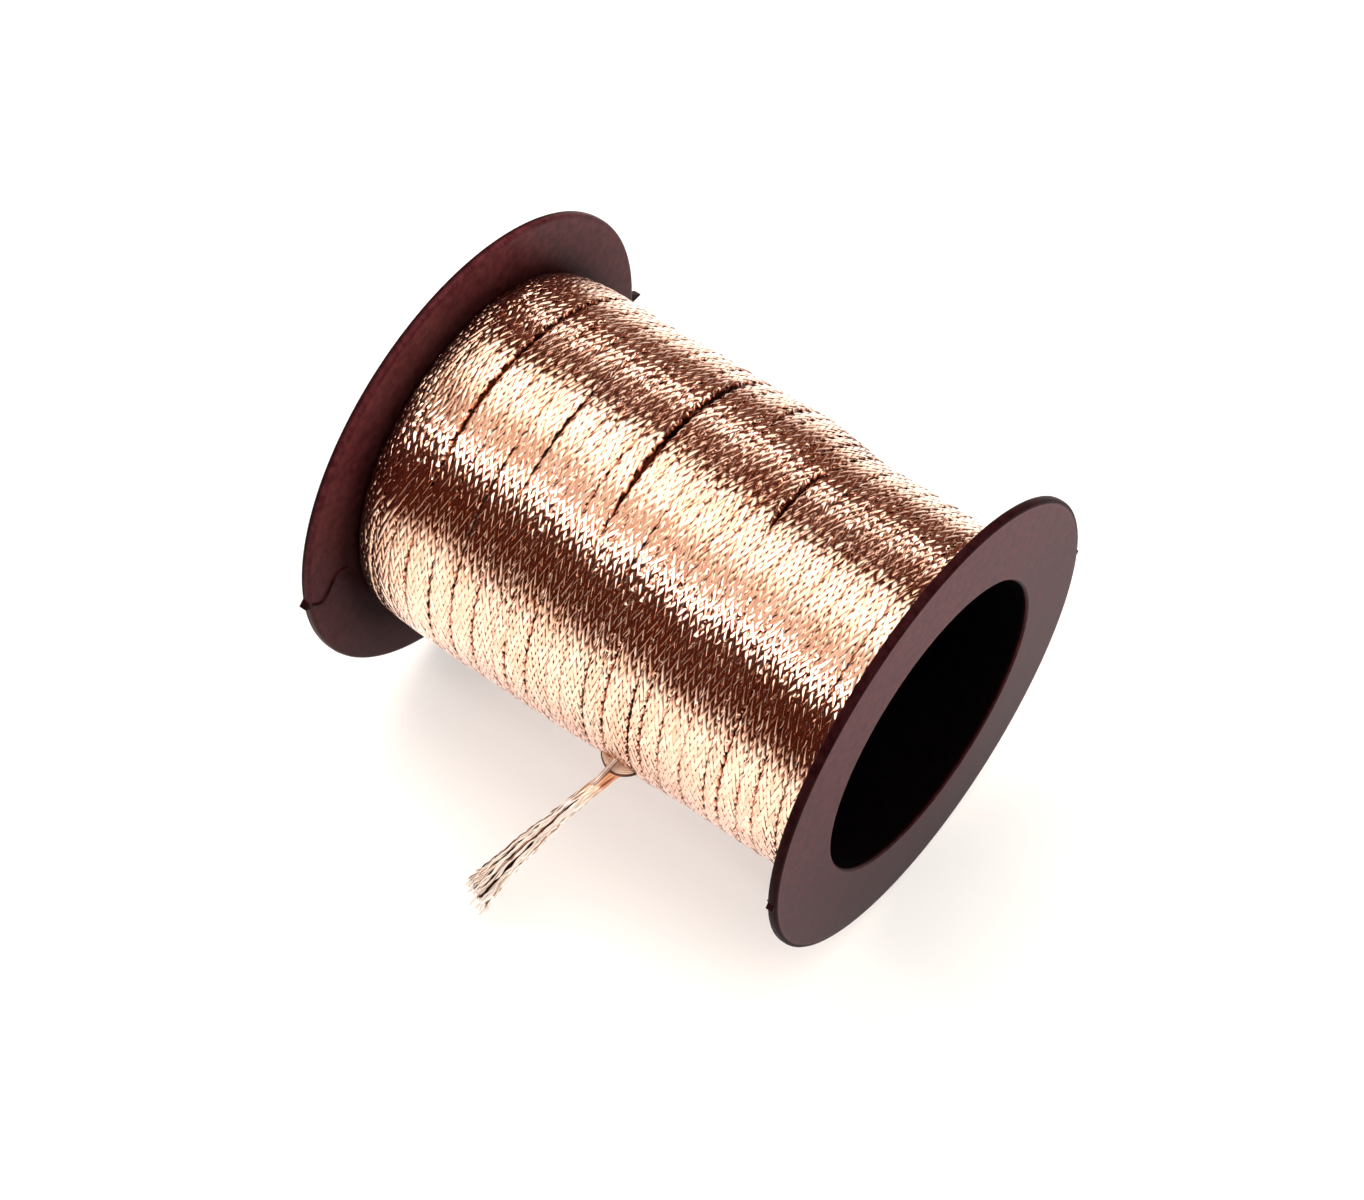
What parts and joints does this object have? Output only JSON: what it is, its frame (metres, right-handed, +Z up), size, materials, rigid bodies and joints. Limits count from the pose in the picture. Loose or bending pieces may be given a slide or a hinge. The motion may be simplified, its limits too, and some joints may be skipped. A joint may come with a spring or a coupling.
{
  "type": "wire spool",
  "caption": "Flanged plastic spool with a wide spindle hole, wound full width with flat copper braid whose free end is hitched at the front and frayed at its tip.",
  "frame": {"origin": "on the surface that the spool lies on, under the middle of its axis", "axes": "+X along the spool axis from the left flange to the right flange, +Y away from the side with the free end, +Z up"},
  "size_m": [0.091, 0.0935, 0.08],
  "materials": {
    "flange_plastic": "dark maroon moulded plastic, satin",
    "tube_plastic": "near-black moulded plastic",
    "copper_braid": "bare copper wire braid, bright"
  },
  "bodies": {
    "root": {"core_tube": "tube_plastic", "left_flange": "flange_plastic", "right_flange": "flange_plastic", "winding_layer_1": "copper_braid", "winding_layer_2": "copper_braid", "winding_top_layer": "copper_braid", "hitch_loop": "copper_braid", "braid_tail": "copper_braid", "frayed_wires": "copper_braid"}
  },
  "joints": []
}
